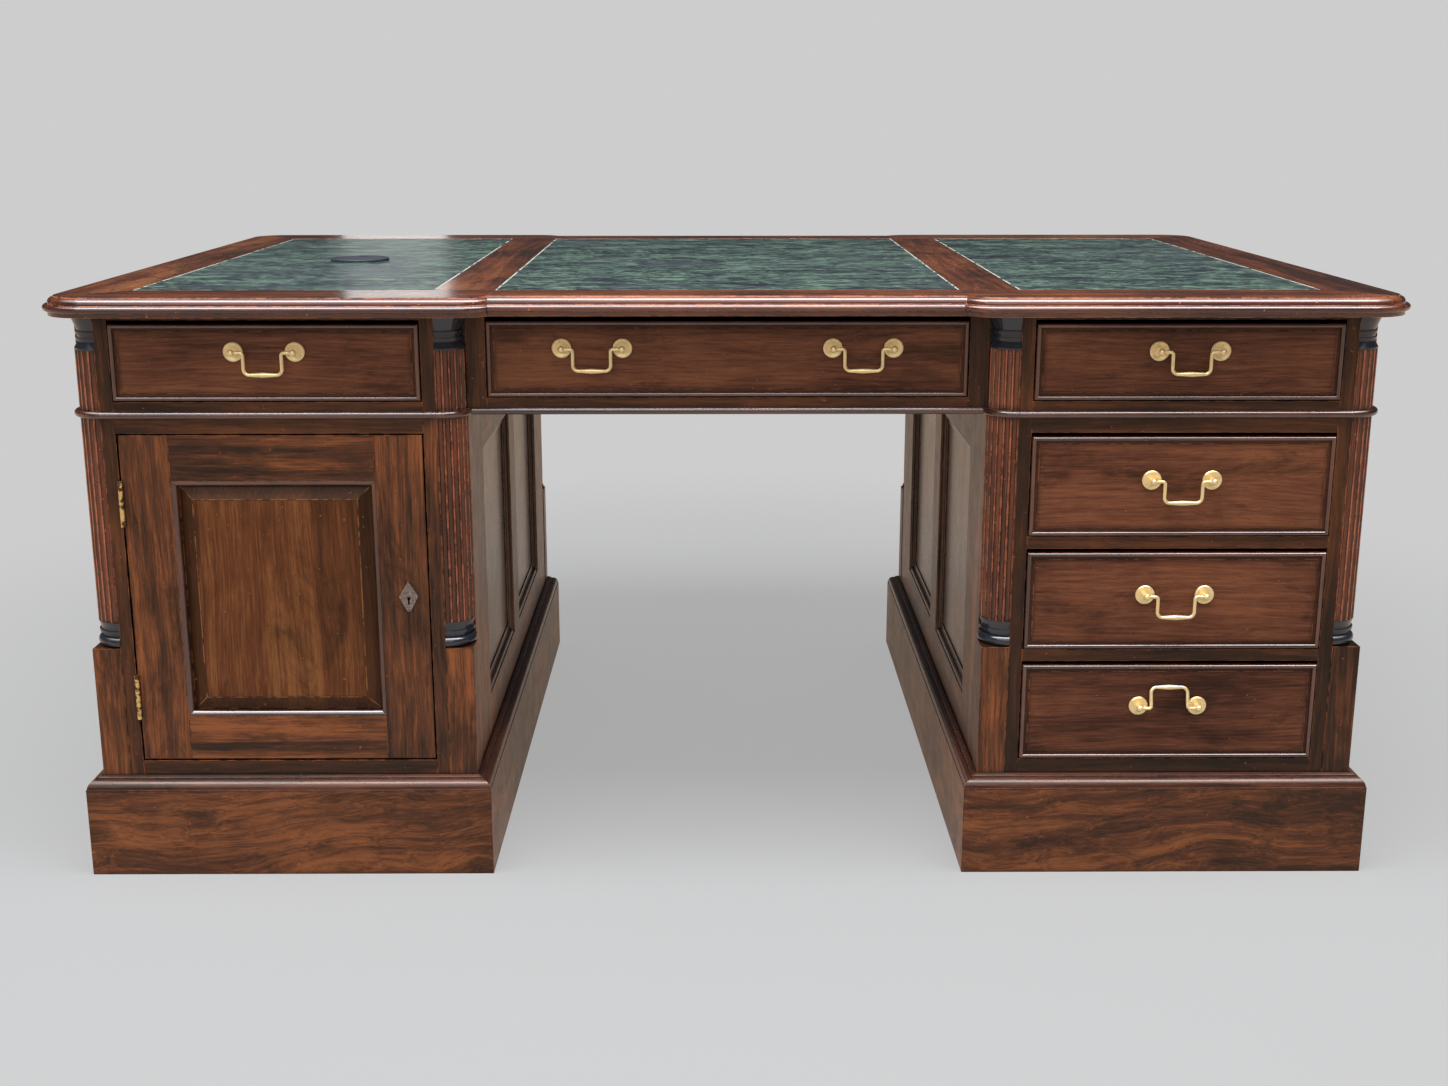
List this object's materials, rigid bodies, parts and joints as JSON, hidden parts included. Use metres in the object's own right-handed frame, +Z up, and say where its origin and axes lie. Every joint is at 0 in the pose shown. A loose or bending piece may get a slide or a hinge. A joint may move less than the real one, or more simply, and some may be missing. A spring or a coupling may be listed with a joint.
{
  "type": "partners desk",
  "caption": "Breakfront two-pedestal partners desk with leather-lined moulded top, fluted quarter columns, drawers and a cupboard for each side",
  "frame": {"origin": "on the floor under the middle of the desk", "axes": "+X to the right of the front user along the desk's length, +Y from the front user to the back user, +Z up"},
  "size_m": [1.722, 1.112, 0.7807],
  "materials": {
    "mahogany": "dark red-brown french polish, worn and glossy",
    "drawer_lining": "plain oiled hardwood, matt",
    "ebonised": "ebonised, high gloss",
    "leather": "dark green skiver with a thin tooled line",
    "brass": "polished and slightly aged",
    "hinge_brass": "aged",
    "pewter": "dull worn pewter grey",
    "steel": "brushed",
    "grommet": "blue-black gloss"
  },
  "bodies": {
    "root": {"desktop_frame": "mahogany", "leather_panels": "leather", "grommet_liner": "grommet", "frieze_frame": "mahogany", "astragal": "mahogany", "column_turnings": "ebonised", "fluted_columns": "mahogany", "right_pedestal_case": "mahogany", "left_pedestal_case": "mahogany", "side_panels": "mahogany", "plinths": "mahogany", "runners_and_shelves": "drawer_lining", "hinge_leaves": "hinge_brass"},
    "front_frieze_left_drawer": {"front_frieze_left_drawer": "mahogany", "front_frieze_left_pull": "brass"},
    "front_frieze_left_bail": {"front_frieze_left_bail": "brass"},
    "front_frieze_centre_drawer": {"front_frieze_centre_drawer": "mahogany", "front_frieze_centre_pull": "brass"},
    "front_frieze_centre_bail_left": {"front_frieze_centre_bail_left": "brass"},
    "front_frieze_centre_bail_right": {"front_frieze_centre_bail_right": "brass"},
    "front_frieze_right_drawer": {"front_frieze_right_drawer": "mahogany", "front_frieze_right_pull": "brass"},
    "front_frieze_right_bail": {"front_frieze_right_bail": "brass"},
    "front_pedestal_bottom_drawer": {"front_pedestal_bottom_drawer": "mahogany", "front_pedestal_bottom_pull": "brass"},
    "front_pedestal_bottom_bail": {"front_pedestal_bottom_bail": "brass"},
    "front_pedestal_middle_drawer": {"front_pedestal_middle_drawer": "mahogany", "front_pedestal_middle_pull": "brass"},
    "front_pedestal_middle_bail": {"front_pedestal_middle_bail": "brass"},
    "front_pedestal_top_drawer": {"front_pedestal_top_drawer": "mahogany", "front_pedestal_top_pull": "brass"},
    "front_pedestal_top_bail": {"front_pedestal_top_bail": "brass"},
    "front_door": {"front_door": "mahogany", "front_door_panel": "mahogany", "front_door_fittings": "pewter"},
    "front_door_bolt": {"front_door_bolt": "steel"},
    "back_frieze_left_drawer": {"back_frieze_left_drawer": "mahogany", "back_frieze_left_pull": "brass"},
    "back_frieze_left_bail": {"back_frieze_left_bail": "brass"},
    "back_frieze_centre_drawer": {"back_frieze_centre_drawer": "mahogany", "back_frieze_centre_pull": "brass"},
    "back_frieze_centre_bail_left": {"back_frieze_centre_bail_left": "brass"},
    "back_frieze_centre_bail_right": {"back_frieze_centre_bail_right": "brass"},
    "back_frieze_right_drawer": {"back_frieze_right_drawer": "mahogany", "back_frieze_right_pull": "brass"},
    "back_frieze_right_bail": {"back_frieze_right_bail": "brass"},
    "back_pedestal_bottom_drawer": {"back_pedestal_bottom_drawer": "mahogany", "back_pedestal_bottom_pull": "brass"},
    "back_pedestal_bottom_bail": {"back_pedestal_bottom_bail": "brass"},
    "back_pedestal_middle_drawer": {"back_pedestal_middle_drawer": "mahogany", "back_pedestal_middle_pull": "brass"},
    "back_pedestal_middle_bail": {"back_pedestal_middle_bail": "brass"},
    "back_pedestal_top_drawer": {"back_pedestal_top_drawer": "mahogany", "back_pedestal_top_pull": "brass"},
    "back_pedestal_top_bail": {"back_pedestal_top_bail": "brass"},
    "back_door": {"back_door": "mahogany", "back_door_panel": "mahogany", "back_door_fittings": "pewter"},
    "back_door_bolt": {"back_door_bolt": "steel"},
    "grommet_cap": {"grommet_cap": "grommet"}
  },
  "joints": [
    {"name": "front_frieze_left_slide", "type": "slide", "parent": "root", "child": "front_frieze_left_drawer", "axis": [0, -1, 0], "range_m": [0, 0.38]},
    {"name": "front_frieze_left_bail_swing", "type": "hinge", "parent": "front_frieze_left_drawer", "child": "front_frieze_left_bail", "pos_m": [-0.586, -0.5182, 0.70525], "axis": [-1, 0, 0], "range_deg": [-16, 196]},
    {"name": "front_frieze_centre_slide", "type": "slide", "parent": "root", "child": "front_frieze_centre_drawer", "axis": [0, -1, 0], "range_m": [0, 0.38]},
    {"name": "front_frieze_centre_bail_left_swing", "type": "hinge", "parent": "front_frieze_centre_drawer", "child": "front_frieze_centre_bail_left", "pos_m": [-0.174, -0.4862, 0.70525], "axis": [-1, 0, 0], "range_deg": [-16, 196]},
    {"name": "front_frieze_centre_bail_right_swing", "type": "hinge", "parent": "front_frieze_centre_drawer", "child": "front_frieze_centre_bail_right", "pos_m": [0.174, -0.4862, 0.70525], "axis": [-1, 0, 0], "range_deg": [-16, 196]},
    {"name": "front_frieze_right_slide", "type": "slide", "parent": "root", "child": "front_frieze_right_drawer", "axis": [0, -1, 0], "range_m": [0, 0.38]},
    {"name": "front_frieze_right_bail_swing", "type": "hinge", "parent": "front_frieze_right_drawer", "child": "front_frieze_right_bail", "pos_m": [0.586, -0.5182, 0.70525], "axis": [-1, 0, 0], "range_deg": [-16, 196]},
    {"name": "front_pedestal_bottom_slide", "type": "slide", "parent": "root", "child": "front_pedestal_bottom_drawer", "axis": [0, -1, 0], "range_m": [0, 0.38]},
    {"name": "front_pedestal_bottom_bail_swing", "type": "hinge", "parent": "front_pedestal_bottom_drawer", "child": "front_pedestal_bottom_bail", "pos_m": [0.586, -0.5182, 0.23125], "axis": [-1, 0, 0], "range_deg": [-212, 0]},
    {"name": "front_pedestal_middle_slide", "type": "slide", "parent": "root", "child": "front_pedestal_middle_drawer", "axis": [0, -1, 0], "range_m": [0, 0.38]},
    {"name": "front_pedestal_middle_bail_swing", "type": "hinge", "parent": "front_pedestal_middle_drawer", "child": "front_pedestal_middle_bail", "pos_m": [0.586, -0.5182, 0.38475], "axis": [-1, 0, 0], "range_deg": [-16, 196]},
    {"name": "front_pedestal_top_slide", "type": "slide", "parent": "root", "child": "front_pedestal_top_drawer", "axis": [0, -1, 0], "range_m": [0, 0.38]},
    {"name": "front_pedestal_top_bail_swing", "type": "hinge", "parent": "front_pedestal_top_drawer", "child": "front_pedestal_top_bail", "pos_m": [0.586, -0.5182, 0.53825], "axis": [-1, 0, 0], "range_deg": [-16, 196]},
    {"name": "front_door_swing", "type": "hinge", "parent": "root", "child": "front_door", "pos_m": [-0.78125, -0.5084, 0.378], "axis": [0, 0, -1], "range_deg": [0, 110]},
    {"name": "front_door_bolt_throw", "type": "slide", "parent": "front_door", "child": "front_door_bolt", "axis": [1, 0, 0], "range_m": [0, 0.008]},
    {"name": "back_frieze_left_slide", "type": "slide", "parent": "root", "child": "back_frieze_left_drawer", "axis": [0, 1, 0], "range_m": [0, 0.38]},
    {"name": "back_frieze_left_bail_swing", "type": "hinge", "parent": "back_frieze_left_drawer", "child": "back_frieze_left_bail", "pos_m": [0.586, 0.5182, 0.70525], "axis": [1, 0, 0], "range_deg": [-16, 196]},
    {"name": "back_frieze_centre_slide", "type": "slide", "parent": "root", "child": "back_frieze_centre_drawer", "axis": [0, 1, 0], "range_m": [0, 0.38]},
    {"name": "back_frieze_centre_bail_left_swing", "type": "hinge", "parent": "back_frieze_centre_drawer", "child": "back_frieze_centre_bail_left", "pos_m": [0.174, 0.4862, 0.70525], "axis": [1, 0, 0], "range_deg": [-16, 196]},
    {"name": "back_frieze_centre_bail_right_swing", "type": "hinge", "parent": "back_frieze_centre_drawer", "child": "back_frieze_centre_bail_right", "pos_m": [-0.174, 0.4862, 0.70525], "axis": [1, 0, 0], "range_deg": [-16, 196]},
    {"name": "back_frieze_right_slide", "type": "slide", "parent": "root", "child": "back_frieze_right_drawer", "axis": [0, 1, 0], "range_m": [0, 0.38]},
    {"name": "back_frieze_right_bail_swing", "type": "hinge", "parent": "back_frieze_right_drawer", "child": "back_frieze_right_bail", "pos_m": [-0.586, 0.5182, 0.70525], "axis": [1, 0, 0], "range_deg": [-16, 196]},
    {"name": "back_pedestal_bottom_slide", "type": "slide", "parent": "root", "child": "back_pedestal_bottom_drawer", "axis": [0, 1, 0], "range_m": [0, 0.38]},
    {"name": "back_pedestal_bottom_bail_swing", "type": "hinge", "parent": "back_pedestal_bottom_drawer", "child": "back_pedestal_bottom_bail", "pos_m": [-0.586, 0.5182, 0.23125], "axis": [1, 0, 0], "range_deg": [-16, 196]},
    {"name": "back_pedestal_middle_slide", "type": "slide", "parent": "root", "child": "back_pedestal_middle_drawer", "axis": [0, 1, 0], "range_m": [0, 0.38]},
    {"name": "back_pedestal_middle_bail_swing", "type": "hinge", "parent": "back_pedestal_middle_drawer", "child": "back_pedestal_middle_bail", "pos_m": [-0.586, 0.5182, 0.38475], "axis": [1, 0, 0], "range_deg": [-16, 196]},
    {"name": "back_pedestal_top_slide", "type": "slide", "parent": "root", "child": "back_pedestal_top_drawer", "axis": [0, 1, 0], "range_m": [0, 0.38]},
    {"name": "back_pedestal_top_bail_swing", "type": "hinge", "parent": "back_pedestal_top_drawer", "child": "back_pedestal_top_bail", "pos_m": [-0.586, 0.5182, 0.53825], "axis": [1, 0, 0], "range_deg": [-16, 196]},
    {"name": "back_door_swing", "type": "hinge", "parent": "root", "child": "back_door", "pos_m": [0.78125, 0.5084, 0.378], "axis": [0, 0, -1], "range_deg": [0, 110]},
    {"name": "back_door_bolt_throw", "type": "slide", "parent": "back_door", "child": "back_door_bolt", "axis": [-1, 0, 0], "range_m": [0, 0.008]},
    {"name": "grommet_cap_turn", "type": "hinge", "parent": "root", "child": "grommet_cap", "pos_m": [-0.56, 0, 0.779], "axis": [0, 0, 1], "continuous": true}
  ]
}
